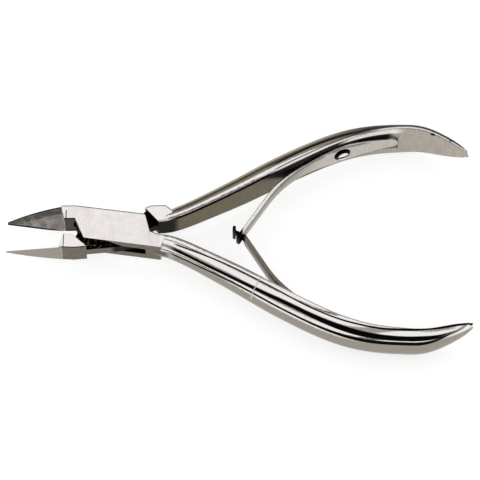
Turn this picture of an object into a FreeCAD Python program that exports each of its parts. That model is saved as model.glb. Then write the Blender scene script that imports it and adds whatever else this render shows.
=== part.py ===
"""Cuticle nipper with a box joint and a double leaf spring, in millimetres.

Frame: the origin is on the pin's axis, in the plane of the back cheek. +X runs from the pin to
the handles, +Y to the tongue half's handle, +Z from the back cheek to the front cheek.

Both halves are drawn closed, with the cutting line on the X axis, as mirror images in the XZ
plane. Each is then turned about the pin by half of the rest opening.
"""
import FreeCAD, Part
import math
import os
import Sketcher
from FreeCAD import Placement, Rotation, Vector

DIMENSIONS = (
    ("rest_opening", 14.5, "degrees between the cutting edges at rest"),
    ("joint_height", 6.4, "thickness over both cheeks"),
    ("cheek", 2.0, "thickness of each cheek of the box"),
    ("slide_gap", 0.05, "clearance between the tongue and each cheek"),
    ("pin_radius", 1.7, "joint pin"),
    ("pin_gap", 0.03, "running clearance of the pin in the tongue"),
    ("jaw_reach", 29.5, "pin to jaw tip"),
    ("edge_gap", 0.02, "half of the light between the closed cutting edges"),
    ("tip_width", 0.4, "width of each jaw's tip"),
    ("edge_length", 9.0, "length of the cutting edge"),
    ("jaw_curve", 100.0, "radius of the jaw's outer edge"),
    ("jaw_width", 4.3, "width of each jaw at the box"),
    ("bevel_angle", 57.5, "degrees from the back face up to the ground bevel"),
    ("bevel_root", 14.85, "pin to the inner end of the bevel"),
    ("bevel_lean", 22.0, "degrees that the bevel's end wall leans towards the tip"),
    ("throat_relief", 0.8, "half gap of the closed jaws in the throat"),
    ("throat", 12.4, "pin to the cheek's corner in the throat"),
    ("cheek_toe", 9.3, "pin to the cheek's outer corner on the jaw side"),
    ("closing_gap", 0.36, "cheek to shoulder when closed, along X"),
    ("box_width", 4.4, "half width of the box"),
    ("cheek_heel", 4.5, "pin to the cheek's outer corner on the handle side"),
    ("heel_inner", 6.4, "pin to the cheek's inner corner on the handle side"),
    ("heel_offset", 0.2, "closing line to that inner corner"),
    ("shoulder_outer", 6.0, "pin to the handle's shoulder at the edge of the box"),
    ("shoulder_inner", 8.5, "pin to the handle's shoulder at the inner face"),
    ("shoulder_offset", 0.8, "closing line to the shoulder at the inner face"),
    ("crown_rise", 0.9, "height of the tongue half's shoulder above the box"),
    ("crown_front", 0.8, "length of that crown before the shoulder's outer corner"),
    ("crown_front_rise", 0.36, "height of the crown's front above the box"),
    ("crown_top", 1.2, "length of the crown up to its top, past the shoulder's outer corner"),
    ("crown_fall", 2.7, "first section of the handle to the fall of the crown"),
    ("crown_fall_rise", 0.63, "height of the crown above the box where its fall begins"),
    ("crown_end", 4.2, "first section of the handle to the crown's end"),
    ("crown_end_drop", 0.9, "depth of the crown's end below the side of the box"),
    ("crown_end_lift", 0.35, "inner face of the handle's root to the crown's end"),
    ("heel_end_inner", 2.6, "first section to the end of the box half's heel, at the inner face"),
    ("heel_end_outer", 1.7, "first section to the end of that heel, at the side of the box"),
    ("heel_end_lift", 0.25, "inner face of the handle's root to the end of that heel"),
    ("handle_root", 8.0, "pin to the first section of the handle"),
    ("handle_reach", 87.8, "pin to the end of the handle"),
    ("root_offset", 0.75, "closing line to the inner face at the root"),
    ("palm_offset", 19.3, "closing line to the inner face at the palm"),
    ("root_depth", 3.75, "depth of the handle at the root"),
    ("belly_depth", 5.8, "depth of the handle where it is thickest"),
    ("palm_depth", 3.6, "depth of the handle at the palm"),
    ("tail_depth", 1.1, "depth of the handle at its end"),
    ("root_width", 6.2, "width of the handle along Z at the root"),
    ("palm_width", 11.6, "width of the handle along Z at the palm"),
    ("end_width", 1.9, "width of the handle along Z at its end"),
    ("corner_round", 0.5, "corner radius of the handle's sections"),
    ("corner_share", 0.4, "the most that a corner radius takes of a section's depth"),
    ("leaf", 0.9, "thickness of a leaf spring"),
    ("leaf_width", 6.2, "width of the leaf at its screw"),
    ("leaf_waist", 4.0, "width of the leaf at the knee"),
    ("leaf_end_width", 3.1, "width of the leaf at its free end"),
    ("tail_width", 3.2, "width of the leaf at its fixed end"),
    ("tail_end", 70.6, "pin to the fixed end of the leaf"),
    ("seat_sink", 0.35, "depth of the leaf's outer face below the handle's inner face"),
    ("seat_gap", 0.05, "clearance behind the leaf"),
    ("side_gap", 0.25, "clearance at the sides and end of the leaf"),
    ("seat_radius", 56.0, "curve of the leaf on the handle"),
    ("seat_turn", 25.5, "degrees that the leaf turns on its seat"),
    ("knee_radius", 31.0, "curve of the leaf where it leaves the handle"),
    ("knee_turn", 25.5, "degrees that the leaf turns at the knee"),
    ("slotted_run", 13.6, "straight end of the slotted leaf"),
    ("hooked_run", 11.0, "straight part of the hooked leaf"),
    ("hook_radius", 1.5, "bend of the hooked leaf"),
    ("hook_turn", 33.0, "degrees"),
    ("neck_run", 2.2, "length of the hooked leaf beyond its bend"),
    ("neck_taper", 1.0, "length over which the hooked leaf narrows to its neck"),
    ("neck_width", 1.3, "width of the neck that passes the slot"),
    ("bar_length", 0.8, "length of the cross bar at the end of the neck"),
    ("bar_width", 5.0, "width of the cross bar"),
    ("window_width", 1.9, "width of the slot in the slotted leaf"),
    ("window_length", 2.9, "length of that slot"),
    ("window_land", 0.6, "metal left beyond that slot"),
    ("knee_flare", 0.1, "widening of the leaf on each side, from its free end to the knee"),
    ("screw_place", 56.1, "pin to the spring's screw, along the closed handle"),
    ("head_radius", 1.85, "screw head"),
    ("head_rim", 0.4, "straight side of the screw head"),
    ("head_dome", 0.55, "height of the dome above that side"),
    ("head_gap", 0.05, "clearance under the screw head, over the leaf's curve"),
    ("shank_radius", 1.0, "screw shank"),
    ("thread_depth", 2.4, "depth of the screw in the handle"),
    ("shank_gap", 0.15, "clearance of the shank in the leaf"),
    ("driver_width", 0.5, "width of the screwdriver slot"),
    ("driver_depth", 0.45, "depth of the screwdriver slot"),
)

# The handle's sections, each with four shares: of the way from root to end, of the rise from
# root_offset to palm_offset, of the depth (0 root, 1 belly, 2 palm, 3 tail) and of the width
# (0 root, 1 palm, 2 end).
SECTIONS = (
    (0.000, 0.000, 0.00, 0.00),
    (0.070, 0.016, 0.40, 0.08),
    (0.160, 0.146, 0.60, 0.19),
    (0.280, 0.348, 0.88, 0.38),
    (0.410, 0.590, 1.00, 0.52),
    (0.540, 0.812, 1.12, 0.62),
    (0.660, 0.962, 1.52, 0.81),
    (0.770, 1.000, 1.98, 1.00),
    (0.870, 0.937, 2.03, 1.12),
    (0.930, 0.814, 2.16, 1.38),
    (0.970, 0.722, 2.46, 1.68),
    (1.000, 0.650, 3.00, 2.00),
)
DEPTHS = ("root_depth", "belly_depth", "palm_depth", "tail_depth")
WIDTHS = ("root_width", "palm_width", "end_width")

MID = "dim.joint_height/2"
CLEAR = 3.0                      # how far a cutting tool runs past the metal

doc = FreeCAD.newDocument("cuticle_nipper")
sheet = doc.addObject("Spreadsheet::Sheet", "dim")
for row, (alias, value, note) in enumerate(DIMENSIONS, start=1):
    sheet.set(f"A{row}", alias)
    sheet.set(f"B{row}", str(value))
    sheet.set(f"C{row}", note)
    sheet.setAlias(f"B{row}", alias)
doc.recompute()


def value_of(expression):
    result = sheet.evalExpression(str(expression))
    return float(getattr(result, "Value", result))


def new_body(name):
    body = doc.addObject("PartDesign::Body", name)
    body.Label = name
    return body


def new_sketch(body, name, role, lift="0"):
    """A sketch on one of the body's origin planes, moved along its normal by an expression."""
    sketch = body.newObject("Sketcher::SketchObject", name)
    plane = next(item for item in body.Origin.OriginFeatures if item.Role == role)
    sketch.AttachmentSupport = (plane, [""])
    sketch.MapMode = "FlatFace"
    sketch.setExpression("AttachmentOffset.Base.z", lift)
    return sketch


def tilt(sketch, sign, angle):
    """Turn an upright sketch about a line along Z, by an expression in degrees."""
    sketch.AttachmentOffset = Placement(
        sketch.AttachmentOffset.Base, Rotation(Vector(0, sign, 0), value_of(angle))
    )
    sketch.setExpression("AttachmentOffset.Rotation.Angle", angle)


def bind(sketch, kind, *place_and_expression):
    """Add a driving constraint whose value is an expression over the sheet."""
    *place, expression = place_and_expression
    index = sketch.addConstraint(Sketcher.Constraint(kind, *place, value_of(expression)))
    sketch.setExpression(f"Constraints[{index}]", str(expression))
    return index


def pin_point(sketch, geometry, position, x, y):
    bind(sketch, "DistanceX", -1, 1, geometry, position, x)
    bind(sketch, "DistanceY", -1, 1, geometry, position, y)


def add_arc(sketch, centre, start, end, left):
    """Add an arc from start to end about a centre that is on the left or the right of the way.
    Returns its index and the names of its two ends: the sketcher's arcs run counterclockwise."""
    first, last = (start, end) if left else (end, start)
    circle = Part.Circle(centre, Vector(0, 0, 1), (start - centre).Length)
    angles = [math.atan2(p.y - centre.y, p.x - centre.x) for p in (first, last)]
    index = sketch.addGeometry(Part.ArcOfCircle(circle, *angles), False)
    return index, (1, 2) if left else (2, 1)


def arc_centre(start, end, radius, left):
    """Centre of the short arc between two points, on the left or the right of the way."""
    chord = end - start
    height = math.sqrt(max(radius**2 - (chord.Length / 2) ** 2, 0))
    normal = Vector(-chord.y, chord.x, 0).normalize()
    return (start + end) * 0.5 + normal * (height if left else -height)


def add_outline(sketch, corners, closed=True):
    """An outline. A corner is (x, y), or (x, y, radius) where an arc leads to the next one,
    with a negative radius for an arc whose centre is on the right of the way."""
    points = [Vector(value_of(corner[0]), value_of(corner[1]), 0) for corner in corners]
    sides = corners if closed else corners[:-1]
    edges = []
    for i, corner in enumerate(sides):
        start = points[i]
        end = points[(i + 1) % len(points)]
        if len(corner) == 2:
            edge = sketch.addGeometry(Part.LineSegment(start, end), False)
            edges.append((edge, (1, 2)))
        else:
            radius = value_of(corner[2])
            left = radius > 0
            centre = arc_centre(start, end, abs(radius), left)
            edges.append(add_arc(sketch, centre, start, end, left))
    for i, corner in enumerate(sides):
        edge, ends = edges[i]
        if closed or i + 1 < len(edges):
            after, after_ends = edges[(i + 1) % len(edges)]
            joint = Sketcher.Constraint("Coincident", edge, ends[1], after, after_ends[0])
            sketch.addConstraint(joint)
        pin_point(sketch, edge, ends[0], corner[0], corner[1])
        if len(corner) == 3:
            bind(sketch, "Radius", edge, f"abs({corner[2]})")
    if not closed:
        edge, ends = edges[-1]
        pin_point(sketch, edge, ends[1], corners[-1][0], corners[-1][1])


def add_circle(sketch, x, y, radius):
    circle = Part.Circle(Vector(value_of(x), value_of(y), 0), Vector(0, 0, 1), value_of(radius))
    index = sketch.addGeometry(circle, False)
    pin_point(sketch, index, 3, x, y)
    bind(sketch, "Radius", index, radius)


def pad(body, name, sketch, length, both_ways=False):
    feature = body.newObject("PartDesign::Pad", name)
    feature.Profile = sketch
    feature.SideType = "Symmetric" if both_ways else "One side"
    feature.setExpression("Length", length)
    return feature


def pocket(body, name, sketch, length, reverse=False, both_ways=False, towards=None):
    """Cut a sketch out of the body and check that metal was removed."""
    doc.recompute()
    before = body.Shape.Volume
    feature = body.newObject("PartDesign::Pocket", name)
    feature.Profile = sketch
    feature.SideType = "Symmetric" if both_ways else "One side"
    feature.Reversed = reverse
    feature.setExpression("Length", length)
    if towards:
        feature.UseCustomVector = True
        feature.Direction = towards
        feature.AlongSketchNormal = False
    doc.recompute()
    if not body.Shape.Volume < before - 1e-3:
        raise RuntimeError(f"{body.Label}.{name} cut nothing")
    return feature


# ---- the two halves -------------------------------------------------------------------------

def part_way(names, stage):
    """A value between two neighbours of a list of aliases: stage 1.25 is a quarter of the way
    from the second to the third."""
    first = min(int(stage), len(names) - 2)
    share = round(stage - first, 4)
    return f"(dim.{names[first]}+{share}*(dim.{names[first + 1]}-dim.{names[first]}))"


def handle_section(body, name, side, shares):
    """One section of the handle: a flat inner face, two round corners and a bowed outer face."""
    along, rise, depth_stage, width_stage = shares
    sketch = new_sketch(
        body, name, "YZ_Plane",
        f"dim.handle_root+{along}*(dim.handle_reach-dim.handle_root)",
    )
    depth = part_way(DEPTHS, depth_stage)
    width = part_way(WIDTHS, width_stage)
    inner = f"(dim.root_offset+{rise}*(dim.palm_offset-dim.root_offset))"
    corner = f"min(dim.corner_round;dim.corner_share*{depth})"
    flat = f"({width}/2-{corner})"
    reach = f"({depth}-{corner})"
    bow = f"(({reach}^2+{flat}^2-{corner}^2)/(2*({reach}-{corner})))"

    # the handle's outward direction is -side along the sketch's x axis
    out = -side
    inner_x = out * value_of(inner)
    middle_z = value_of(MID)
    radius = value_of(corner)
    big = value_of(bow)
    low = Vector(inner_x, middle_z - value_of(flat), 0)
    high = Vector(inner_x, middle_z + value_of(flat), 0)
    low_centre = low + Vector(out * radius, 0, 0)
    high_centre = high + Vector(out * radius, 0, 0)
    bow_centre = Vector(inner_x + out * (value_of(depth) - big), middle_z, 0)
    low_joint = low_centre + (low_centre - bow_centre).normalize() * radius
    high_joint = high_centre + (high_centre - bow_centre).normalize() * radius
    left = out < 0
    chain = [(sketch.addGeometry(Part.LineSegment(low, high), False), (1, 2))]
    chain.append(add_arc(sketch, high_centre, high, high_joint, left))
    chain.append(add_arc(sketch, bow_centre, high_joint, low_joint, left))
    chain.append(add_arc(sketch, low_centre, low_joint, low, left))
    for i, (index, ends) in enumerate(chain):
        after, after_ends = chain[(i + 1) % len(chain)]
        joint = Sketcher.Constraint("Tangent", index, ends[1], after, after_ends[0])
        sketch.addConstraint(joint)
    line, top_arc, bow_arc, low_arc = (index for index, _ in chain)
    pin_point(sketch, line, 1, f"{out}*{inner}", f"{MID}-{flat}")
    pin_point(sketch, line, 2, f"{out}*{inner}", f"{MID}+{flat}")
    bind(sketch, "Radius", top_arc, corner)
    bind(sketch, "Radius", bow_arc, bow)
    bind(sketch, "Radius", low_arc, corner)
    return sketch


def joint_window(body, name, side, lift):
    """Outline between the jaw's shoulder and the handle's shoulder, open at the other two sides.
    The box half's slot and the tongue half's two cheek recesses are all this shape."""
    sketch = new_sketch(body, name, "XY_Plane", lift)
    toe_slope = "((dim.throat-dim.cheek_toe)/(dim.box_width-dim.throat_relief))"
    heel_slope = "((dim.shoulder_inner-dim.shoulder_outer)/(dim.box_width-dim.root_offset))"
    far = f"(dim.box_width+{CLEAR})"

    def toe(y):
        return f"-(dim.throat+dim.closing_gap)+{toe_slope}*({y}-dim.throat_relief)"

    def heel(y):
        return f"dim.shoulder_inner+{heel_slope}*({y}+dim.root_offset)"

    add_outline(sketch, (
        (toe("(-dim.root_offset)"), f"{-side}*dim.root_offset"),
        (toe(far), f"{side}*{far}"),
        (heel("dim.root_offset"), f"{side}*{far}"),
        (heel("dim.root_offset"), f"{side}*dim.root_offset"),
        (heel(f"(-{far})"), f"{-side}*{far}"),
        (toe("(-dim.root_offset)"), f"{-side}*{far}"),
    ))
    return sketch


def new_half(name, side, crown, bore, windows):
    """A forged half. side is +1 for the upper jaw with the lower handle, -1 for the other."""
    body = new_body(name)

    blank = new_sketch(body, f"{name}_blank_outline", "XY_Plane")
    edge_root = "(-dim.jaw_reach+dim.edge_length)"
    relief = "(dim.throat_relief-dim.edge_gap)"
    relief_curve = f"(((dim.throat+{edge_root})^2+{relief}^2)/(2*{relief}))"
    corners = [
        ("-dim.throat", f"{side}*dim.throat_relief", f"{-side}*{relief_curve}"),
        (edge_root, f"{side}*dim.edge_gap"),
        ("-dim.jaw_reach", f"{side}*dim.edge_gap"),
        ("-dim.jaw_reach", f"{side}*dim.tip_width", f"{-side}*dim.jaw_curve"),
        ("-dim.throat-dim.closing_gap", f"{side}*dim.jaw_width"),
        ("dim.cheek_heel", f"{side}*dim.box_width"),
        ("dim.heel_inner", f"{-side}*dim.heel_offset"),
        ("dim.shoulder_inner", f"{-side}*dim.shoulder_offset"),
    ]
    if crown:
        end = "dim.handle_root+dim.crown_end"
        front = "dim.shoulder_outer-dim.crown_front"
        corners += [
            (end, f"{-side}*(dim.root_offset+dim.crown_end_lift)"),
            (end, f"{-side}*(dim.box_width-dim.crown_end_drop)"),
            ("dim.handle_root+dim.crown_fall", f"{-side}*(dim.box_width+dim.crown_fall_rise)"),
            ("dim.shoulder_outer+dim.crown_top", f"{-side}*(dim.box_width+dim.crown_rise)"),
            (front, f"{-side}*(dim.box_width+dim.crown_front_rise)"),
            (front, f"{-side}*dim.box_width"),
        ]
    else:
        heel_end = f"{-side}*(dim.root_offset+dim.heel_end_lift)"
        corners += [
            ("dim.handle_root+dim.heel_end_inner", heel_end),
            ("dim.handle_root+dim.heel_end_outer", f"{-side}*dim.box_width"),
        ]
    corners.append(("-dim.cheek_toe", f"{-side}*dim.box_width"))
    add_outline(blank, corners)
    pad(body, f"{name}_blank", blank, "dim.joint_height")

    sections = [
        handle_section(body, f"{name}_section_{i}", side, shares)
        for i, shares in enumerate(SECTIONS, start=1)
    ]
    doc.recompute()
    handle = body.newObject("PartDesign::AdditiveLoft", f"{name}_handle")
    handle.Profile = sections[0]
    handle.Sections = sections[1:]
    handle.Ruled = False
    doc.recompute()

    round_end(body, name)
    bevel(body, name, side)
    spring_seat(body, name, side)
    for i, (lift, depth) in enumerate(windows, start=1):
        window = joint_window(body, f"{name}_window_outline_{i}", side, lift)
        pocket(body, f"{name}_window_{i}", window, depth, reverse=True)

    hole = new_sketch(body, f"{name}_bore_outline", "XY_Plane")
    add_circle(hole, "0", "0", bore)
    pocket(body, f"{name}_bore", hole, "dim.joint_height", reverse=True)
    turn_by(body, f"{-side}*dim.rest_opening/2")
    return body


def turn_by(body, angle):
    """Turn a body about the pin by an expression in degrees."""
    body.Placement = Placement(Vector(0, 0, 0), Rotation(Vector(0, 0, 1), value_of(angle)))
    body.setExpression("Placement.Rotation.Angle", angle)


def round_end(body, name):
    """Trim the palm end of the handle to a half circle, seen along Y."""
    sketch = new_sketch(body, f"{name}_end_outline", "XZ_Plane")
    end = "dim.handle_reach"
    radius = "(dim.end_width/2)"
    start = f"({end}-{radius})"
    reach = f"(dim.palm_width/2+{CLEAR})"
    add_outline(sketch, (
        (start, f"{MID}-{radius}", radius),
        (end, MID, radius),
        (start, f"{MID}+{radius}"),
        (start, f"{MID}+{reach}"),
        (f"{end}+{CLEAR}", f"{MID}+{reach}"),
        (f"{end}+{CLEAR}", f"{MID}-{reach}"),
        (start, f"{MID}-{reach}"),
    ))
    pocket(body, f"{name}_end", sketch, "4*dim.palm_offset", both_ways=True)


def bevel(body, name, side):
    """Grind the jaw down from its outer ridge to the cutting edge on the back face."""
    sketch = new_sketch(body, f"{name}_bevel_outline", "YZ_Plane", "-dim.bevel_root")
    tilt(sketch, side, "dim.bevel_lean")
    across = "cos(dim.bevel_lean)"
    outer = f"(dim.box_width+{CLEAR})"
    top = f"dim.joint_height+{CLEAR}"
    add_outline(sketch, (
        (f"{side}*dim.edge_gap/{across}", "0"),
        (f"{side}*{outer}/{across}", f"({outer}-dim.edge_gap)*tan(dim.bevel_angle)"),
        (f"{side}*{outer}/{across}", f"{top}+{outer}*tan(dim.bevel_angle)"),
        (f"{-side}*{CLEAR}", f"{top}+{outer}*tan(dim.bevel_angle)"),
        (f"{-side}*{CLEAR}", "0"),
    ))
    pocket(body, f"{name}_bevel", sketch, "dim.jaw_reach", towards=Vector(-1, 0, 0))


def seat_height(x):
    """Height of the leaf's outer face over the closing line, at a place on the seat's curve."""
    centre = "(dim.palm_offset+dim.seat_sink-dim.seat_radius)"
    return f"({centre}+sqrt(dim.seat_radius^2-(dim.tail_end-{x})^2))"


def spring_seat(body, name, side):
    """Let the leaf's fixed end into the inner face, and tap the hole for its screw."""
    lift = f"{MID}-dim.leaf_width/2-dim.side_gap"
    sketch = new_sketch(body, f"{name}_seat_outline", "XY_Plane", lift)
    out = -side
    end = "(dim.tail_end+dim.side_gap)"
    path = leaf_line("(-dim.seat_gap)", hooked=side > 0)[:4]
    corners = []
    for corner in path:
        placed = (corner[0], f"{out}*{corner[1]}")
        corners.append(placed + tuple(f"{out}*{radius}" for radius in corner[2:]))
    corners[3] = corners[3][:2]
    low = corners[3][1]
    add_outline(sketch, corners + [(end, low), (end, corners[0][1])])
    pocket(body, f"{name}_seat", sketch, "dim.leaf_width+2*dim.side_gap", reverse=True)

    screw_hole = screw_plane(body, f"{name}_thread_outline", out)
    add_circle(screw_hole, "0", "0", "dim.shank_radius")
    depth = "dim.thread_depth+dim.seat_gap"
    pocket(body, f"{name}_thread", screw_hole, depth, reverse=out < 0)


def screw_plane(body, name, out):
    """A sketch square to the spring's screw, on the outer face of the leaf. out is the side of
    the closing line that the handle is on."""
    sketch = new_sketch(body, name, "XZ_Plane", f"{-out}*{seat_height('dim.screw_place')}")
    tilt(sketch, out, SCREW_TILT)
    sketch.setExpression("AttachmentOffset.Base.x", "dim.screw_place")
    sketch.setExpression("AttachmentOffset.Base.y", MID)
    return sketch


# ---- the leaf springs and their screws ------------------------------------------------------

def leaf_line(inset, hooked):
    """Corners of a line along the leaf, from its fixed end to its free end. inset is the line's
    distance from the leaf's outer face, towards the closing line."""
    seat = f"(dim.seat_radius-{inset})"
    knee = f"(dim.knee_radius-{inset})"
    turn_1 = "dim.seat_turn"
    turn_2 = "(dim.seat_turn+dim.knee_turn)"
    run = "dim.hooked_run" if hooked else "dim.slotted_run"
    x1 = "dim.tail_end"
    y1 = f"(dim.palm_offset+dim.seat_sink-{inset})"
    x2 = f"({x1}-{seat}*sin({turn_1}))"
    y2 = f"({y1}-{seat}*(1-cos({turn_1})))"
    x3 = f"({x2}+{knee}*(sin({turn_1})-sin({turn_2})))"
    y3 = f"({y2}+{knee}*(cos({turn_2})-cos({turn_1})))"
    x4 = f"({x3}-{run}*cos({turn_2}))"
    y4 = f"({y3}-{run}*sin({turn_2}))"
    path = [(x1, y1, seat), (x2, y2, knee), (x3, y3), (x4, y4)]
    if hooked:
        last = "(dim.seat_turn+dim.knee_turn-dim.hook_turn)"
        x5 = f"({x4}+dim.hook_radius*(sin({last})-sin({turn_2})))"
        y5 = f"({y4}+dim.hook_radius*(cos({turn_2})-cos({last})))"
        x6 = f"({x5}-dim.neck_run*cos({last}))"
        y6 = f"({y5}-dim.neck_run*sin({last}))"
        path[3] = (x4, y4, "-dim.hook_radius")
        path += [(x5, y5), (x6, y6)]
    return path


def new_leaf(name, out, hooked):
    """A leaf spring: a strip bent to its path, then trimmed to its outline seen along Y."""
    body = new_body(name)
    path = leaf_line("dim.leaf/2", hooked)
    spine = new_sketch(body, f"{name}_path", "XY_Plane", MID)
    corners = []
    for corner in path:
        placed = (corner[0], f"{out}*{corner[1]}")
        corners.append(placed + tuple(f"{out}*{radius}" for radius in corner[2:]))
    add_outline(spine, corners, closed=False)
    strip = new_sketch(body, f"{name}_strip", "YZ_Plane", "dim.tail_end")
    y1 = path[0][1]
    add_outline(strip, (
        (f"{out}*({y1}-dim.leaf/2)", f"{MID}-dim.leaf_width/2"),
        (f"{out}*({y1}+dim.leaf/2)", f"{MID}-dim.leaf_width/2"),
        (f"{out}*({y1}+dim.leaf/2)", f"{MID}+dim.leaf_width/2"),
        (f"{out}*({y1}-dim.leaf/2)", f"{MID}+dim.leaf_width/2"),
    ))
    doc.recompute()
    pipe = body.newObject("PartDesign::AdditivePipe", f"{name}_bend")
    pipe.Profile = strip
    pipe.Spine = (spine, [f"Edge{i + 1}" for i in range(len(path) - 1)])
    doc.recompute()
    trim_leaf(body, name, path, hooked)

    hole = screw_plane(body, f"{name}_hole_outline", out)
    add_circle(hole, "0", "0", "(dim.shank_radius+dim.shank_gap)")
    pocket(body, f"{name}_hole", hole, "4*dim.leaf", both_ways=True)
    turn_by(body, f"{out}*dim.rest_opening/2")
    return body


def trim_leaf(body, name, path, hooked):
    """Cut away all but the leaf's outline, and the window or the neck at its free end."""
    sketch = new_sketch(body, f"{name}_trim", "XZ_Plane")
    knee = path[2][0]
    seat = path[1][0]
    end = path[-1][0]
    slope = "cos(dim.seat_turn+dim.knee_turn)"
    if hooked:
        last = "(dim.seat_turn+dim.knee_turn-dim.hook_turn)"
        bar = f"({end}+dim.bar_length*cos({last}))"
        front = [
            (end, "dim.bar_width/2"),
            (bar, "dim.bar_width/2"),
            (bar, "dim.neck_width/2"),
            (path[3][0], "dim.neck_width/2"),
            (f"({path[3][0]}+dim.neck_taper*{slope})", "dim.leaf_end_width/2"),
        ]
    else:
        front = [(f"({end}-dim.leaf/2)", "dim.leaf_end_width/2")]
    edge = front + [
        (knee, "(dim.leaf_end_width/2+dim.knee_flare)"),
        (seat, "dim.leaf_waist/2"),
        ("(dim.screw_place-dim.head_radius)", "dim.leaf_width/2"),
        ("(dim.screw_place+dim.head_radius)", "dim.leaf_width/2"),
        ("(dim.tail_end-dim.tail_width/2)", "dim.tail_width/2"),
    ]
    upper = [(x, f"{MID}+{z}") for x, z in edge]
    lower = [(x, f"{MID}-{z}") for x, z in reversed(edge)]
    upper[-1] += ("-dim.tail_width/2",)
    add_outline(sketch, upper + [("dim.tail_end", MID, "-dim.tail_width/2")] + lower)
    reach = f"(dim.leaf_width/2+{CLEAR})"
    add_outline(sketch, (
        (f"({end}-{CLEAR})", f"{MID}-{reach}"),
        (f"(dim.tail_end+{CLEAR})", f"{MID}-{reach}"),
        (f"(dim.tail_end+{CLEAR})", f"{MID}+{reach}"),
        (f"({end}-{CLEAR})", f"{MID}+{reach}"),
    ))
    pocket(body, f"{name}_outline", sketch, "4*dim.palm_offset", both_ways=True)
    if not hooked:
        window = new_sketch(body, f"{name}_window_outline", "XZ_Plane")
        near = f"({end}+dim.window_land*{slope})"
        far = f"({near}+dim.window_length*{slope})"
        add_outline(window, (
            (near, f"{MID}-dim.window_width/2"),
            (far, f"{MID}-dim.window_width/2"),
            (far, f"{MID}+dim.window_width/2"),
            (near, f"{MID}+dim.window_width/2"),
        ))
        pocket(body, f"{name}_window", window, "dim.palm_offset", both_ways=True)


def new_screw(name, out):
    """A slotted dome-head screw. Its axis is Y, with y = 0 on the leaf's outer face."""
    body = new_body(name)
    profile = new_sketch(body, f"{name}_profile", "XY_Plane")
    dome = "((dim.head_radius^2+dim.head_dome^2)/(2*dim.head_dome))"
    seat = "(dim.leaf+dim.head_gap)"
    crest = f"-({seat}+dim.head_rim+dim.head_dome)"
    add_outline(profile, (
        ("0", "dim.thread_depth"),
        ("0", crest, dome),
        ("dim.head_radius", f"-({seat}+dim.head_rim)"),
        ("dim.head_radius", f"-{seat}"),
        ("dim.shank_radius", f"-{seat}"),
        ("dim.shank_radius", "dim.thread_depth"),
    ))
    doc.recompute()
    turned = body.newObject("PartDesign::Revolution", f"{name}_turned")
    turned.Profile = profile
    turned.ReferenceAxis = (profile, ["V_Axis"])
    turned.Angle = 360
    slot = new_sketch(body, f"{name}_slot_outline", "XZ_Plane", f"-({crest})")
    add_outline(slot, (
        ("-2*dim.head_radius", "-dim.driver_width/2"),
        ("2*dim.head_radius", "-dim.driver_width/2"),
        ("2*dim.head_radius", "dim.driver_width/2"),
        ("-2*dim.head_radius", "dim.driver_width/2"),
    ))
    pocket(body, f"{name}_slot", slot, "dim.driver_depth")

    turn = f"({out}*dim.rest_opening/2)"
    height = f"({out}*{seat_height('dim.screw_place')})"
    upright = f"({SCREW_TILT}+dim.rest_opening*1 deg/2)"
    angle = upright if out > 0 else f"(180 deg-{upright})"
    body.Placement = Placement(Vector(0, 0, 0), Rotation(Vector(0, 0, 1), value_of(angle)))
    body.setExpression("Placement.Rotation.Angle", angle)
    body.setExpression("Placement.Base.x", f"dim.screw_place*cos({turn})-{height}*sin({turn})")
    body.setExpression("Placement.Base.y", f"dim.screw_place*sin({turn})+{height}*cos({turn})")
    body.setExpression("Placement.Base.z", MID)
    return body


def new_pin(name):
    """The joint's pin, ground flush with both cheeks."""
    body = new_body(name)
    circle = new_sketch(body, f"{name}_outline", "XY_Plane")
    add_circle(circle, "0", "0", "dim.pin_radius")
    pad(body, f"{name}_shank", circle, "dim.joint_height")
    return body


SCREW_TILT = "asin((dim.tail_end-dim.screw_place)/dim.seat_radius)"
SLOT = (("dim.cheek", "dim.joint_height-2*dim.cheek"),)
RECESS_DEPTH = "(dim.cheek+dim.slide_gap)"
RECESSES = (("0", RECESS_DEPTH), (f"dim.joint_height-{RECESS_DEPTH}", RECESS_DEPTH))

pieces = [
    new_half("box_half", 1, False, "dim.pin_radius", SLOT),
    new_half("tongue_half", -1, True, "(dim.pin_radius+dim.pin_gap)", RECESSES),
    new_pin("joint_pin"),
    new_leaf("upper_leaf_spring", 1, hooked=False),
    new_leaf("lower_leaf_spring", -1, hooked=True),
    new_screw("upper_spring_screw", 1),
    new_screw("lower_spring_screw", -1),
]
doc.recompute()

for item in doc.Objects:
    if "Invalid" in item.State or "Error" in item.State:
        raise RuntimeError(f"{item.Name}: {item.State}")
os.makedirs("parts", exist_ok=True)
for piece in pieces:
    shape = piece.Shape
    if shape.isNull() or not shape.isValid() or len(shape.Solids) != 1:
        raise RuntimeError(f"{piece.Label} is not one sound solid")
    shape.exportStep(f"parts/{piece.Label}.step")
    print(f"{piece.Label}: {shape.Volume:.1f} mm3, {len(shape.Faces)} faces")
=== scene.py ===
import math

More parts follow.
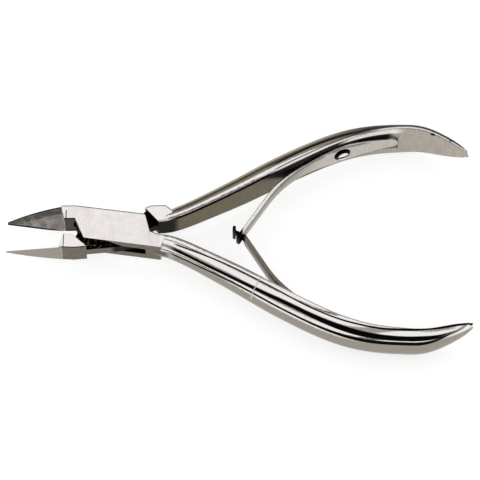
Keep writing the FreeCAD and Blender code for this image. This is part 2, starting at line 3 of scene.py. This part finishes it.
import bmesh
import bpy
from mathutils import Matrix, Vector


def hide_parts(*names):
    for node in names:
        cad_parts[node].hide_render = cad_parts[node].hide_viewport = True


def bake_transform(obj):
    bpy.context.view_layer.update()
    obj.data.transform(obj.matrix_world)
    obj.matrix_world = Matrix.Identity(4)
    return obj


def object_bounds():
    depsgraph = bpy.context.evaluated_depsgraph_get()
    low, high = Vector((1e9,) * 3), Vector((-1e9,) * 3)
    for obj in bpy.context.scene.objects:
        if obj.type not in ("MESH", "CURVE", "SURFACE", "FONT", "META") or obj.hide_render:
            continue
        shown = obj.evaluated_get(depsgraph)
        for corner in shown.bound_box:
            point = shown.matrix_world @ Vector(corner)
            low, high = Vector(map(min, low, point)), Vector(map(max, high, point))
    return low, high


MM = 0.001
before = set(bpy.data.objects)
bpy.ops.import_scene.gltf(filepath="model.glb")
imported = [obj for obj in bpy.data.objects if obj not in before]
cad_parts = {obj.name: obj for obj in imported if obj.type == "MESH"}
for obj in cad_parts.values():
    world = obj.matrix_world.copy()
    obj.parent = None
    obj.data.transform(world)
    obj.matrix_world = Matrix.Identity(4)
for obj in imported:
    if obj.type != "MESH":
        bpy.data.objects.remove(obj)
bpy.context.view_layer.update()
scene = bpy.context.scene


# ---- camera -------------------------------------------------------------------------------------
AZIMUTH = math.radians(1.0)
ELEVATION = math.radians(60.0)
DISTANCE = 0.65
LENS = 197.9
TARGET = Vector((28.52, -1.41, 3.2)) * MM

camera_data = bpy.data.cameras.new("camera")
camera = bpy.data.objects.new("camera", camera_data)
scene.collection.objects.link(camera)
back = Vector((
    math.sin(AZIMUTH) * math.cos(ELEVATION),
    -math.cos(AZIMUTH) * math.cos(ELEVATION),
    math.sin(ELEVATION),
))
camera.location = TARGET + back * DISTANCE
camera.rotation_euler = back.to_track_quat("Z", "Y").to_euler()
camera_data.lens = LENS
camera_data.sensor_width = 36
camera_data.clip_start = 0.01
camera_data.clip_end = 20
scene.camera = camera
scene.view_settings.view_transform = "Standard"


# ---- material helpers ---------------------------------------------------------------------------
def srgb(r, g, b):
    """A colour given as 0 to 255 display values."""
    def linear(c):
        c /= 255
        return c / 12.92 if c <= 0.04045 else ((c + 0.055) / 1.055) ** 2.4
    return (linear(r), linear(g), linear(b), 1.0)


class Graph:
    """A material's node tree, with short calls for the nodes used here."""

    def __init__(self, tree):
        self.tree = tree

    def node(self, kind, **settings):
        node = self.tree.nodes.new(kind)
        for key, value in settings.items():
            setattr(node, key, value)
        return node

    def put(self, value, socket):
        """Link a socket to another, or set its value."""
        if isinstance(value, bpy.types.NodeSocket):
            self.tree.links.new(value, socket)
        else:
            socket.default_value = value

    def math(self, operation, a, b=0.0, clamp=False):
        node = self.node("ShaderNodeMath", operation=operation, use_clamp=clamp)
        self.put(a, node.inputs[0])
        self.put(b, node.inputs[1])
        return node.outputs[0]

    def both(self, *masks):
        """The product of some masks."""
        result = masks[0]
        for mask in masks[1:]:
            result = self.math("MULTIPLY", result, mask)
        return result

    def invert(self, mask):
        return self.math("SUBTRACT", 1.0, mask)

    def span(self, value, low, high, to_low=0.0, to_high=1.0):
        """Map value from low..high to to_low..to_high, with soft ends. Where low is above high,
        the mask falls as value rises."""
        node = self.node("ShaderNodeMapRange", interpolation_type="SMOOTHSTEP")
        for value_in, index in ((value, 0), (low, 1), (high, 2), (to_low, 3), (to_high, 4)):
            self.put(value_in, node.inputs[index])
        return node.outputs[0]

    def between(self, value, low, high, soft):
        """A mask that is 1 from low to high, with soft edges outside them."""
        return self.both(self.span(value, low - soft, low), self.span(value, high + soft, high))

    def mix(self, factor, a, b, blend="MIX"):
        node = self.node("ShaderNodeMix", data_type="RGBA", blend_type=blend)
        self.put(factor, node.inputs[0])
        self.put(a, node.inputs[6])
        self.put(b, node.inputs[7])
        return node.outputs[2]

    def axes(self, vector):
        node = self.node("ShaderNodeSeparateXYZ")
        self.put(vector, node.inputs[0])
        return node.outputs[0], node.outputs[1], node.outputs[2]

    def noise(self, vector, size, detail=3.0, stretch=(1, 1, 1)):
        """Noise whose grains are size millimetres wide, stretched along each axis."""
        mapping = self.node("ShaderNodeMapping")
        mapping.inputs["Scale"].default_value = [1 / (s * size * MM) for s in stretch]
        self.put(vector, mapping.inputs["Vector"])
        node = self.node("ShaderNodeTexNoise")
        self.put(mapping.outputs[0], node.inputs["Vector"])
        node.inputs["Scale"].default_value = 1.0
        node.inputs["Detail"].default_value = detail
        return node.outputs[0]


EDGE_ROUND = 0.12 * MM
GRAIN_DEPTH = 0.01 * MM
REST_NAME = "rest_place"
CURVE_SPAN = 100.0
POLISHED = 0.12
DULL = 0.5
EDGE_TURN = (0.08, 0.25)
OCCLUDED = (0.15, 0.75)

# The axis of each half's spring screw: where it lies along the handle, how far the handle leans
# there from X, and its height. All lengths on the metal are in millimetres from here on.
SCREW_ALONG = 58.77
SCREW_LEAN = math.radians(22.0)
SCREW_HEIGHT = 3.2


class Steel(Graph):
    """A metal with rounded edges, grain and painted shade in its crevices, whose colour is laid
    in zones.
    """

    def __init__(self, name, colour, rest_name=None):
        """rest_name is the mesh attribute that holds the place at rest, for a mesh that bends."""
        self.material = bpy.data.materials.new(name)
        self.material.use_nodes = True
        super().__init__(self.material.node_tree)
        self.shader = self.tree.nodes["Principled BSDF"]
        self.shader.inputs["Metallic"].default_value = 1.0
        coordinates = self.node("ShaderNodeTexCoord")
        self.place = coordinates.outputs["Object"]
        if rest_name:
            attribute = self.node("ShaderNodeAttribute", attribute_name=rest_name)
            self.place = attribute.outputs["Vector"]
        self.x, self.y, self.z = (self.math("DIVIDE", v, MM) for v in self.axes(self.place))
        self.nx, self.ny, self.nz = self.axes(coordinates.outputs["Normal"])
        self.front = self.math("MULTIPLY", self.ny, -1.0)
        self.colour = colour
        self.roughness = POLISHED
        self.grain_share = 1.0

    def lay(self, mask, colour):
        self.colour = self.mix(mask, self.colour, colour)

    def blend(self, mask, a, b):
        node = self.node("ShaderNodeMix", data_type="FLOAT")
        self.put(mask, node.inputs[0])
        self.put(a, node.inputs[2])
        self.put(b, node.inputs[3])
        return node.outputs[0]

    def roughen(self, mask, roughness):
        self.roughness = self.blend(mask, self.roughness, roughness)

    def blacken(self, mask):
        """Lay dull black: painted shade, as in a shadowed recess, or a painted dark reflection
        line in the polish.
        """
        self.lay(mask, INK)
        self.roughen(mask, DULL)

    def stripe(self, value, centre, half, soft=0.1):
        """A mask that is 1 within half of centre, and fades over soft beyond that."""
        distance = self.math("ABSOLUTE", self.math("SUBTRACT", value, centre))
        return self.span(self.math("SUBTRACT", distance, half), soft, 0.0)

    def track(self, points):
        """The Y of a smooth line through some (x, y) points. The curve node holds 0 to 1, so
        X goes in from 0 to CURVE_SPAN, and Y comes out up to half of that either way."""
        node = self.node("ShaderNodeFloatCurve")
        scaled = [(x / CURVE_SPAN, 0.5 + y / CURVE_SPAN) for x, y in points]
        curve = node.mapping.curves[0]
        curve.points[0].location = scaled[0]
        curve.points[1].location = scaled[-1]
        for point in scaled[1:-1]:
            curve.points.new(*point)
        node.mapping.update()
        self.put(self.math("DIVIDE", self.x, CURVE_SPAN), node.inputs["Value"])
        return self.math("MULTIPLY", self.math("SUBTRACT", node.outputs[0], 0.5), CURVE_SPAN)

    def squared(self, *parts):
        """The square of the length of a vector with some parts."""
        total = self.both(parts[0], parts[0])
        for part in parts[1:]:
            total = self.math("ADD", total, self.both(part, part))
        return total

    def length(self, *parts):
        return self.math("SQRT", self.squared(*parts))

    def from_screw(self):
        """Distance from the axis of the half's spring screw."""
        forwards = self.both(self.x, math.cos(SCREW_LEAN))
        sideways = self.both(self.math("ABSOLUTE", self.y), math.sin(SCREW_LEAN))
        across = self.math("SUBTRACT", self.math("ADD", forwards, sideways), SCREW_ALONG)
        return self.length(across, self.math("SUBTRACT", self.z, SCREW_HEIGHT))

    def tinted(self, shade):
        """The colour so far, multiplied by a grey."""
        grey = self.node("ShaderNodeCombineXYZ")
        for channel in grey.inputs:
            self.put(shade, channel)
        return self.mix(1.0, self.colour, grey.outputs[0], "MULTIPLY")

    def mottle(self, mask, size, amount, stretch=(1, 1, 1)):
        """Lighten and darken the colour in grains, up to amount each way."""
        grain = self.noise(self.place, size, stretch=stretch)
        shade = self.span(grain, 0.3, 0.7, 1 - amount, 1 + amount)
        self.colour = self.mix(mask, self.colour, self.tinted(shade))

    def edges(self, part, radius):
        """A mask for the edges where the surface turns towards one axis, 1 for Y and 2 for Z,
        and the parts of the face's own normal."""
        wide = self.node("ShaderNodeBevel", samples=8)
        wide.inputs["Radius"].default_value = radius * MM
        turned = self.axes(wide.outputs[0])
        flat = self.axes(self.node("ShaderNodeNewGeometry").outputs["True Normal"])
        turn = self.math("SUBTRACT", turned[part], flat[part])
        return self.span(turn, *EDGE_TURN), flat

    def far_edges(self, radius=0.5):
        """A mask for the far edges of top faces."""
        edge, flat = self.edges(1, radius)
        return self.both(edge, self.span(flat[2], 0.4, 0.5))

    def top_edges(self, radius):
        """A mask for the top edges of front faces."""
        edge, flat = self.edges(2, radius)
        return self.both(edge, self.span(flat[1], -0.4, -0.6), self.span(flat[2], 0.5, 0.2))

    def finish(self, grain, strength, crevice=0.6, gloom=0.25, round_mask=1.0):
        """Join the zones to the shader. grain is a height for the bump, crevice the reach of
        the painted shade in crevices, gloom the share of light that is left in it, and round_mask
        is 0 where edges stay sharp."""
        # Painted shade: the colour darkens where occlusion finds nearby surfaces.
        occlusion = self.node("ShaderNodeAmbientOcclusion", samples=8)
        occlusion.inputs["Distance"].default_value = crevice * MM
        crevice_shade = self.span(occlusion.outputs["AO"], *OCCLUDED, gloom, 1.0)
        self.put(self.tinted(crevice_shade), self.shader.inputs["Base Color"])
        self.put(self.roughness, self.shader.inputs["Roughness"])
        edge = self.node("ShaderNodeBevel", samples=6)
        self.put(self.math("MULTIPLY", round_mask, EDGE_ROUND), edge.inputs["Radius"])
        bump = self.node("ShaderNodeBump")
        bump.inputs["Strength"].default_value = strength
        bump.inputs["Distance"].default_value = GRAIN_DEPTH
        self.put(self.both(grain, self.grain_share), bump.inputs["Height"])
        self.put(edge.outputs[0], bump.inputs["Normal"])
        self.put(bump.outputs[0], self.shader.inputs["Normal"])
        return self.material


BRIGHT = srgb(238, 234, 231)
SATIN = srgb(246, 241, 238)
# TAN, LOW_TAN, BROWN, DIM and UMBER are laid as painted shade: the dark that the steel's sides
# reflect.
TAN = srgb(150, 143, 133)
LOW_TAN = srgb(128, 121, 111)
BROWN = srgb(106, 99, 90)
MOSS = srgb(98, 91, 70)
PALM = srgb(172, 164, 153)
DIM = srgb(66, 61, 53)
# Black for painted shade and painted dark reflection lines, and for two small spots.
INK = srgb(14, 12, 11)
# A pale grey for a painted highlight line.
RING_HIGHLIGHT = srgb(196, 191, 194)
UMBER = srgb(130, 122, 105)


# ---- the two halves -----------------------------------------------------------------------------
# A mask's name says what is painted. Its limits are places on the halves at rest, or parts of the
# normal: nz is 1 on a face that looks up and front is 1 on one that looks to -Y. The direction to
# the camera is the photograph's, and is fixed to the halves: nothing here follows a camera.
JAW_FROM = (-15.0, -15.4)
HANDLE_FROM = (10.0, 13.0)
TO_CAMERA_Y = -0.5
TO_CAMERA_Z = 0.866
PIN_RIM = (2.0, 2.3)
GROUND_ROUGHNESS = 0.24
GROUND_STROKES = (1, 9, 1)
POLISH_STROKES = (14, 1, 1)
POLISH_GRAIN = 0.10
POLISH_STRENGTH = 0.12
LEVEL = (0.9, 0.97)
BOX_EDGE_SHADE = -14.4
TONGUE_EDGE_SHADE = -14.7
RING_HIGHLIGHT_X = 0.86
RING_HIGHLIGHT_Y = 0.51
RING_HIGHLIGHT_PLACE = 36.45
RECESS_X = 38.4
RECESS_SLOPE = 0.8
MIDDLE_LINE_SHARE = 0.75
DARK_SPOTS = ((76.2, 27.3, 7.6), (80.8, 26.3, 6.5))
SPOT_STRETCH = math.sqrt(0.4)


class Half(Steel):
    """The polished steel of one half, with the zones that both halves have."""

    def __init__(self, name):
        super().__init__(name, BRIGHT)
        self.steep = self.span(self.nz, 0.50, 0.36)
        self.forward = self.span(self.front, 0.2, 0.5)
        self.flank = self.both(self.steep, self.forward)
        self.on_handle = self.span(self.x, *HANDLE_FROM)
        self.on_jaw = self.span(self.x, *JAW_FROM)
        self.middle = self.both(self.invert(self.on_handle), self.invert(self.on_jaw))
        # horizon: a painted dark reflection band on the far side, at the limb.
        facing = self.math("ADD", self.both(self.ny, TO_CAMERA_Y), self.both(self.nz, TO_CAMERA_Z))
        far_side = self.span(self.ny, 0.1, 0.25)
        self.horizon = self.both(self.stripe(facing, 0.20, 0.26, 0.08), far_side)
        self.off_pin = self.span(self.length(self.x, self.y), *PIN_RIM)
        # far_line: a painted dark reflection line along the far top edges by the joint.
        on_joint = self.span(self.x, 20.0, 14.0)
        self.far_line = self.both(self.far_edges(), on_joint, self.off_pin)


def paint_box_body(g):
    """The box half's flank, notch and ground cheek: painted shade on the flank, its underside and
    the notch, and painted dark lines at the notch's edges, the bevel's foot and the jaw's edge.
    """
    under = g.both(g.span(g.nz, 0.10, -0.25), g.forward)
    # Painted shade: the flank darker, and its underside darker still.
    g.lay(g.both(g.flank, g.on_handle), TAN)
    g.lay(g.both(under, g.on_handle), LOW_TAN)
    notch = g.both(g.between(g.x, -14.7, -11.0, 0.2), g.flank, g.span(g.y, -1.0, 0.5))
    notch_top = g.span(g.z, 5.4, 5.9)
    notch_foot = g.span(g.z, 0.9, 0.5)
    # Painted shade in the notch, black at its top and foot.
    g.lay(notch, DIM)
    g.blacken(g.both(notch, notch_top))
    g.blacken(g.both(notch, notch_foot))
    # A painted dark line along the bevel's foot.
    bevel_foot = g.span(g.z, 0.5, 0.3)
    g.blacken(g.both(g.on_jaw, g.forward, bevel_foot))
    cheek = g.both(g.span(g.nz, 0.97, 0.995), g.between(g.x, -15.0, 8.7, 0.3))
    towards_jaw = g.span(g.x, 9.0, 3.0)
    g.lay(g.both(cheek, towards_jaw), SATIN)
    # A painted dark line of shade at the edge where the jaw's base ends.
    level = g.span(g.nz, *LEVEL)
    above_notch = g.between(g.y, 1.8, 4.4, 0.2)
    g.blacken(g.both(g.stripe(g.x, BOX_EDGE_SHADE, 0.07), level, above_notch))
    g.roughen(cheek, GROUND_ROUGHNESS)
    g.mottle(cheek, 0.5, 0.022, GROUND_STROKES)
    g.grain_share = g.invert(g.both(cheek, 0.9))


def paint_box_handle(g):
    """The painted dark reflection lines that run along the box half's handle, and a painted
    highlight line round it.
    """
    # Painted dark reflection lines along the handle.
    near_side = g.both(g.span(g.front, 0.1, 0.2), g.on_handle)
    crest_rise = g.span(g.x, 14.0, 43.0, 5.8, 7.2)
    crest_fall = g.span(g.x, 71.0, 86.0, 0.0, 2.0)
    crest = g.math("SUBTRACT", crest_rise, crest_fall)
    half_rise = g.span(g.x, 40.0, 66.0, 0.20, 0.50)
    half_fall = g.span(g.x, 70.0, 84.0, 0.0, 0.35)
    crest_half = g.math("SUBTRACT", half_rise, half_fall)
    crest_line = g.both(near_side, g.stripe(g.z, crest, crest_half, 0.14))
    paler_at_tip = g.span(g.x, 86.0, 76.0, 0.45, 1.0)
    g.blacken(g.both(crest_line, paler_at_tip))
    g.blacken(g.both(g.horizon, g.span(g.x, 71.0, 76.0)))
    lower_crest = g.span(g.x, 12.0, 36.0, 4.7, 5.9)
    lower_half = g.both(g.span(g.x, 40.0, 66.0, 0.16, 0.42), g.span(g.x, 82.0, 72.0))
    lower_line = g.both(near_side, g.stripe(g.z, lower_crest, lower_half))
    where_wide = g.span(lower_half, 0.02, 0.1)
    g.blacken(g.both(lower_line, where_wide))
    ridge = g.track([
        (14, -5.3), (24, -9.9), (34, -15.5), (48.3, -23.7), (58, -27.3), (66, -28.7),
        (74.7, -28.1), (82, -25.6), (87, -23.3),
    ])
    ridge_half = g.span(g.x, 62.0, 74.0, 0.16, 0.28)
    on_top = g.both(g.span(g.nz, 0.6, 0.75), g.between(g.x, 13.5, 85.0, 1.5))
    g.blacken(g.both(on_top, g.stripe(g.y, ridge, ridge_half)))
    # A painted highlight line round the handle.
    along = g.math("SUBTRACT", g.both(g.x, RING_HIGHLIGHT_X), g.both(g.y, RING_HIGHLIGHT_Y))
    ring_highlight_side = g.both(g.span(g.z, 3.0, 4.5), g.span(g.y, -10.0, -12.0))
    g.lay(g.both(g.stripe(along, RING_HIGHLIGHT_PLACE, 0.10), ring_highlight_side), RING_HIGHLIGHT)


def paint_tongue_root(g):
    """Painted shade in the tongue half's slot and on its shoulder against the box, and painted
    dark reflections on the back of its handle.
    """
    in_slot = g.both(g.between(g.x, -2.0, 5.5, 1.5), g.between(g.z, 2.2, 4.2, 0.2))
    g.blacken(g.both(in_slot, g.steep))
    shoulder = g.both(g.between(g.x, 5.5, 12.0, 2.0), g.steep, g.span(g.ny, 0.3, 0.1))
    g.blacken(shoulder)
    # Painted dark reflection on the back slope of the handle.
    back_slope = g.both(g.span(g.ny, 0.12, 0.35), g.span(g.nz, 0.0, 0.25))
    g.lay(g.both(back_slope, g.on_handle), UMBER)
    g.blacken(g.both(g.horizon, g.span(g.x, 44.0, 64.0)))


def paint_tongue_inside(g, inner):
    """The inner side of the tongue half's handle: a painted dark line at its near edge, painted
    shadow in the spring's recess, and a painted highlight along its brow.
    """
    near_side = g.both(g.span(g.front, 0.15, 0.3), g.on_handle, g.span(g.x, 39.0, 35.0))
    near_edge = g.span(g.x, 12.0, 40.0, 6.4, 7.45)
    g.blacken(g.both(near_side, g.stripe(g.z, near_edge, 0.24, 0.14)))
    # Painted shadow in the recess, above the spring.
    slope = g.math("ADD", g.z, g.both(g.math("SUBTRACT", g.x, RECESS_X), RECESS_SLOPE))
    recess_start = g.span(slope, 3.0, 4.6)
    recess_foot = g.span(g.z, 2.6, 3.8)
    recess_end = g.span(g.x, 67.0, 65.0)
    g.blacken(g.both(inner, recess_start, recess_foot, recess_end))
    brow_highlight = g.both(inner, g.span(g.z, 6.8, 7.2), g.between(g.x, 56.0, 66.0, 4.0))
    g.lay(brow_highlight, BRIGHT)


def paint_tongue_top(g):
    """Two painted dark reflection lines along the top of the tongue half's handle, and two small
    black spots at its palm.
    """
    ridge = g.track([(28.5, 12.6), (38.3, 18.9), (48.2, 24.3), (58.2, 27.7), (63.5, 28.5)])
    on_top = g.both(g.between(g.x, 38.0, 62.0, 4.0), g.span(g.nz, 0.5, 0.7))
    g.blacken(g.both(g.stripe(g.y, ridge, 0.24), on_top))
    middle_line = g.track([(36, 15.8), (43.3, 20.1), (53.2, 25.1), (58.2, 26.7), (64, 27.7)])
    on_level = g.both(g.between(g.x, 38.0, 62.0, 2.0), g.span(g.nz, 0.7, 0.9))
    g.blacken(g.both(g.stripe(g.y, middle_line, 0.14), on_level, MIDDLE_LINE_SHARE))
    # Two small black spots at the palm.
    for spot in DARK_SPOTS:
        x, y, z = (g.math("SUBTRACT", v, c) for v, c in zip((g.x, g.y, g.z), spot))
        near_spot = g.squared(g.both(x, SPOT_STRETCH), y, z)
        g.blacken(g.span(near_spot, 0.25, 0.10))


def paint_tongue_jaw(g):
    """Painted dark lines of shade at the top edge and at the root of the tongue half's jaw."""
    wall = g.both(g.flank, g.between(g.x, -15.0, -9.5, 0.3))
    g.blacken(g.both(wall, g.span(g.z, 5.75, 6.1)))
    level = g.span(g.nz, *LEVEL)
    g.blacken(g.both(g.stripe(g.x, TONGUE_EDGE_SHADE, 0.04), level, g.span(g.y, -1.0, -2.0)))


def paint_throat(g):
    """Painted shade in the throat and on the faces inside the joint, with a few painted glints."""
    throat = g.both(g.between(g.x, -14.4, -8.4, 0.4), g.span(g.nx, -0.25, -0.5), g.steep)
    g.blacken(throat)
    inside = g.both(g.between(g.x, -13.5, 12.0, 0.5), g.between(g.z, 1.5, 5.2, 0.3))
    level = g.span(g.math("ABSOLUTE", g.nz), 0.6, 0.8)
    g.blacken(g.both(inside, level))
    glints = g.span(g.noise(g.place, 0.5, 1.0), 0.60, 0.68)
    g.lay(g.both(inside, level, glints, g.span(g.x, -2.0, -4.0)), TAN)


def half_steel(name, jaw, is_box):
    """The steel of one half, with painted shade on its flanks and on the back of its handle. jaw
    is the colour of its jaw's front, which is painted shade on the tongue half.
    """
    g = Half(name)
    # Painted shade on the flanks, the jaw's front and the back of the handle.
    g.lay(g.both(g.flank, g.middle), BROWN)
    g.lay(g.both(g.span(g.nz, 0.80, 0.65), g.forward, g.on_jaw), jaw)
    handle_back = g.both(g.span(g.nz, 0.3, 0.05), g.span(g.ny, 0.2, 0.5), g.on_handle)
    g.lay(handle_back, TAN)
    if is_box:
        paint_box_body(g)
        paint_box_handle(g)
        g.blacken(g.far_line)
    else:
        inner = g.both(g.span(g.front, 0.6, 0.8), g.on_handle)
        g.lay(inner, MOSS)
        g.lay(g.both(inner, g.span(g.x, 42.0, 66.0)), PALM)
        g.roughen(inner, GROUND_ROUGHNESS)
        g.mottle(inner, 0.6, 0.07, (1, 1, 7))
        g.grain_share = g.invert(g.both(inner, 0.7))
        paint_tongue_root(g)
        paint_tongue_inside(g, inner)
        paint_tongue_top(g)
        paint_tongue_jaw(g)
        behind_jaw = g.span(g.x, -10.0, -8.0)
        g.blacken(g.both(g.far_line, behind_jaw))
    paint_throat(g)
    g.mottle(g.both(g.on_jaw, g.span(g.nz, 0.9, 0.8)), 0.35, 0.08)
    g.mottle(g.both(g.flank, g.middle), 0.5, 0.16, (2, 1, 1))
    g.mottle(g.both(g.flank, g.on_handle), 0.6, 0.05, (6, 1, 1))
    wear = g.span(g.noise(g.place, 1.8), 0.35, 0.75, -0.02, 0.05)
    g.roughness = g.math("ADD", g.roughness, wear)
    grain = g.noise(g.place, POLISH_GRAIN, stretch=POLISH_STROKES)
    return g.finish(grain, POLISH_STRENGTH, round_mask=g.off_pin)


# ---- pin, springs and screws --------------------------------------------------------------------
EVERYWHERE = 1.0
LEAF_LINE_RADIUS = 2.0
HEAD_RECESS = (1.3, 1.45)
DRIVER_HALF = 0.3
DRIVER_END = (1.3, 1.1)


def pin_steel():
    """Ground like the cheek it is flush with, and with no rim."""
    g = Steel("pin_steel_ground", SATIN)
    g.mottle(EVERYWHERE, 0.5, 0.03, GROUND_STROKES)
    g.roughness = GROUND_ROUGHNESS
    g.grain_share = 0.1
    grain = g.noise(g.place, POLISH_GRAIN, stretch=POLISH_STROKES)
    return g.finish(grain, POLISH_STRENGTH, round_mask=0.0)


def leaf_steel(name, low_face, high_face, rim, end):
    """Satin spring steel. low_face and high_face are the colours of its broad side towards the
    front, by the free end and by the screw, and rim that of its top: painted shade, darker by the
    free end and on the lower leaf. It is painted black, as shade, up to X = end and along the top
    edge of its tail, and a painted shadow line runs round the screw's head."""
    g = Steel(name, BRIGHT, REST_NAME)
    g.lay(g.span(g.nz, 0.85, 0.97), rim)
    broad = g.both(g.span(g.nz, 0.6, 0.3), g.span(g.front, 0.1, 0.4))
    g.lay(broad, low_face)
    g.lay(g.both(broad, g.span(g.x, 38.0, 50.0)), high_face)
    g.mottle(EVERYWHERE, 0.4, 0.07, (1, 1, 5))
    g.roughness = 0.2
    # Painted shade: a dark line along the top edge of the tail, a shadow line round the screw's
    # head, and black up to X = end.
    g.blacken(g.both(g.top_edges(0.4), g.span(g.x, 62.0, 58.0)))
    g.blacken(g.both(broad, g.stripe(g.from_screw(), LEAF_LINE_RADIUS, 0.16)))
    g.blacken(g.span(g.x, end + 0.6, end))
    grain = g.noise(g.place, 0.08, stretch=(1, 1, 12))
    return g.finish(grain, 0.15, crevice=0.9, gloom=0.08)


def screw_steel():
    """A bright dome in a ring of painted shade, with a slot for the screwdriver painted black as
    shade.
    """
    g = Steel("screw_steel_turned", BRIGHT)
    g.mottle(EVERYWHERE, 0.3, 0.10)
    g.roughness = 0.15
    from_axis = g.from_screw()
    # Painted shade round the head and in the slot.
    g.blacken(g.span(from_axis, *HEAD_RECESS))
    g.blacken(g.both(g.stripe(g.z, SCREW_HEIGHT, DRIVER_HALF), g.span(from_axis, *DRIVER_END)))
    return g.finish(g.noise(g.place, 0.08), 0.2, crevice=0.5, gloom=0.1)


def dress(node_name, material):
    """Give a node of the frame its material."""
    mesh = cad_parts[node_name].data
    for index in range(len(mesh.materials)):
        mesh.materials[index] = material


dress("box_half", half_steel("polished_steel_box", BRIGHT, True))
dress("tongue_half", half_steel("polished_steel_tongue", TAN, False))
dress("joint_pin", pin_steel())
screw_material = screw_steel()
dress("upper_spring_screw", screw_material)
dress("lower_spring_screw", screw_material)


# ---- leaf springs -------------------------------------------------------------------------------
LEAF_BEVEL = 0.10 * MM
SLICE = 0.8 * MM
NEAR = 0.001 * MM
FLAT_ANGLE = math.radians(1)
BEVEL_ANGLE = math.radians(40)
SHADING_ANGLE = math.radians(35)


def bending_leaf(node_name, name, material):
    """A leaf of the frame as a mesh of its own, with soft edges, cut crosswise from its screw to
    its tip."""
    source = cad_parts[node_name]
    bm = bmesh.new()
    bm.from_mesh(source.data)
    bm.transform(source.matrix_world)
    bmesh.ops.remove_doubles(bm, verts=bm.verts, dist=NEAR)
    bmesh.ops.dissolve_limit(bm, angle_limit=FLAT_ANGLE, verts=bm.verts, edges=bm.edges)
    sharp = [
        edge for edge in bm.edges
        if len(edge.link_faces) == 2 and edge.calc_face_angle() > BEVEL_ANGLE
    ]
    bmesh.ops.bevel(
        bm, geom=sharp, offset=LEAF_BEVEL, segments=2, profile=0.5, affect="EDGES",
        clamp_overlap=True,
    )
    start = min(v.co.x for v in bm.verts)
    end = max(v.co.x for v in bm.verts)
    for i in range(1, int((end - start) / SLICE)):
        geometry = bm.verts[:] + bm.edges[:] + bm.faces[:]
        place = Vector((start + i * SLICE, 0, 0))
        bmesh.ops.bisect_plane(
            bm, geom=geometry, dist=NEAR, plane_co=place, plane_no=(1, 0, 0),
        )
    bmesh.ops.recalc_face_normals(bm, faces=bm.faces)
    mesh = bpy.data.meshes.new(name)
    bm.to_mesh(mesh)
    bm.free()
    rest = mesh.attributes.new(REST_NAME, "FLOAT_VECTOR", "POINT")
    rest.data.foreach_set("vector", [value for v in mesh.vertices for value in v.co])
    mesh.materials.clear()
    mesh.materials.append(material)
    mesh.polygons.foreach_set("use_smooth", [True] * len(mesh.polygons))
    mesh.set_sharp_from_angle(angle=SHADING_ANGLE)
    leaf = bpy.data.objects.new(name, mesh)
    scene.collection.objects.link(leaf)
    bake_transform(leaf)
    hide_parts(node_name)


# The lower leaf's colours are darker: painted shade.
upper_steel = leaf_steel(
    "spring_steel_upper", low_face=srgb(142, 135, 120), high_face=srgb(190, 185, 177),
    rim=BRIGHT, end=28.9,
)
bending_leaf("upper_leaf_spring", "upper_leaf", upper_steel)
lower_steel = leaf_steel(
    "spring_steel_lower", low_face=srgb(76, 71, 60), high_face=srgb(120, 113, 100),
    rim=srgb(118, 111, 98), end=29.2,
)
bending_leaf("lower_leaf_spring", "lower_leaf", lower_steel)


# ---- floor, world and cards ---------------------------------------------------------------------
FLOOR_COLOUR = 0.36
FLOOR_GLOW = 0.72
FLOOR_HALF = 3


def add_stage(name, corners, material):
    """A flat sheet of the set, which is not part of the object."""
    mesh = bpy.data.meshes.new(name)
    mesh.from_pydata(corners, [], [tuple(range(len(corners)))])
    mesh.materials.append(material)
    obj = bpy.data.objects.new(name, mesh)
    scene.collection.objects.link(obj)
    return obj


def matt(name, colour):
    """A dull material, and its shader."""
    material = bpy.data.materials.new(name)
    material.use_nodes = True
    shader = material.node_tree.nodes["Principled BSDF"]
    shader.inputs["Base Color"].default_value = colour
    shader.inputs["Roughness"].default_value = 1.0
    shader.inputs["Specular IOR Level"].default_value = 0.0
    return material, shader


floor_material, shader = matt("floor", (FLOOR_COLOUR, FLOOR_COLOUR, FLOOR_COLOUR, 1))
g = Graph(floor_material.node_tree)
path = g.node("ShaderNodeLightPath")
seen = g.math("ADD", path.outputs["Is Camera Ray"], path.outputs["Is Glossy Ray"])
seen = g.math("ADD", seen, path.outputs["Is Transmission Ray"], clamp=True)
shader.inputs["Emission Color"].default_value = (1, 1, 1, 1)
g.put(g.math("MULTIPLY", seen, FLOOR_GLOW), shader.inputs["Emission Strength"])
floor_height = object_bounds()[0].z
corners = [
    (x * FLOOR_HALF, y * FLOOR_HALF, floor_height)
    for x, y in ((-1, -1), (1, -1), (1, 1), (-1, 1))
]
add_stage("floor", corners, floor_material)

world = bpy.data.worlds.new("world")
world.use_nodes = True
scene.world = world
background = world.node_tree.nodes["Background"]
background.inputs["Color"].default_value = (1, 1, 1, 1)
background.inputs["Strength"].default_value = 1.0

CARD_DISTANCE = 0.9
CARD_HALF = 1.6

# Cards beside the set that only reflections see. Each has the elevations that it spans in
# degrees, the side of the set that it is on along Y, and its colour.
CARDS = (
    ("flag_near", 36.0, 64.0, -1, (0.75, 0.73, 0.70, 1)),
    ("flag_low", -0.1, 12.0, -1, (0.12, 0.11, 0.098, 1)),
    ("flag_far", -0.1, 50.0, 1, (0.45, 0.42, 0.37, 1)),
    ("flag_top", 70.0, 78.0, 1, (0.25, 0.24, 0.22, 1)),
)
for name, low_degrees, high_degrees, side, colour in CARDS:
    corners = []
    for degrees, ends in ((low_degrees, (-1, 1)), (high_degrees, (1, -1))):
        angle = math.radians(degrees)
        for end in ends:
            corners.append((
                end * CARD_HALF,
                side * CARD_DISTANCE * math.cos(angle),
                CARD_DISTANCE * math.sin(angle),
            ))
    card = add_stage(name, corners, matt(name, colour)[0])
    card.visible_camera = False
    card.visible_diffuse = False
    card.visible_transmission = False
    card.visible_shadow = False
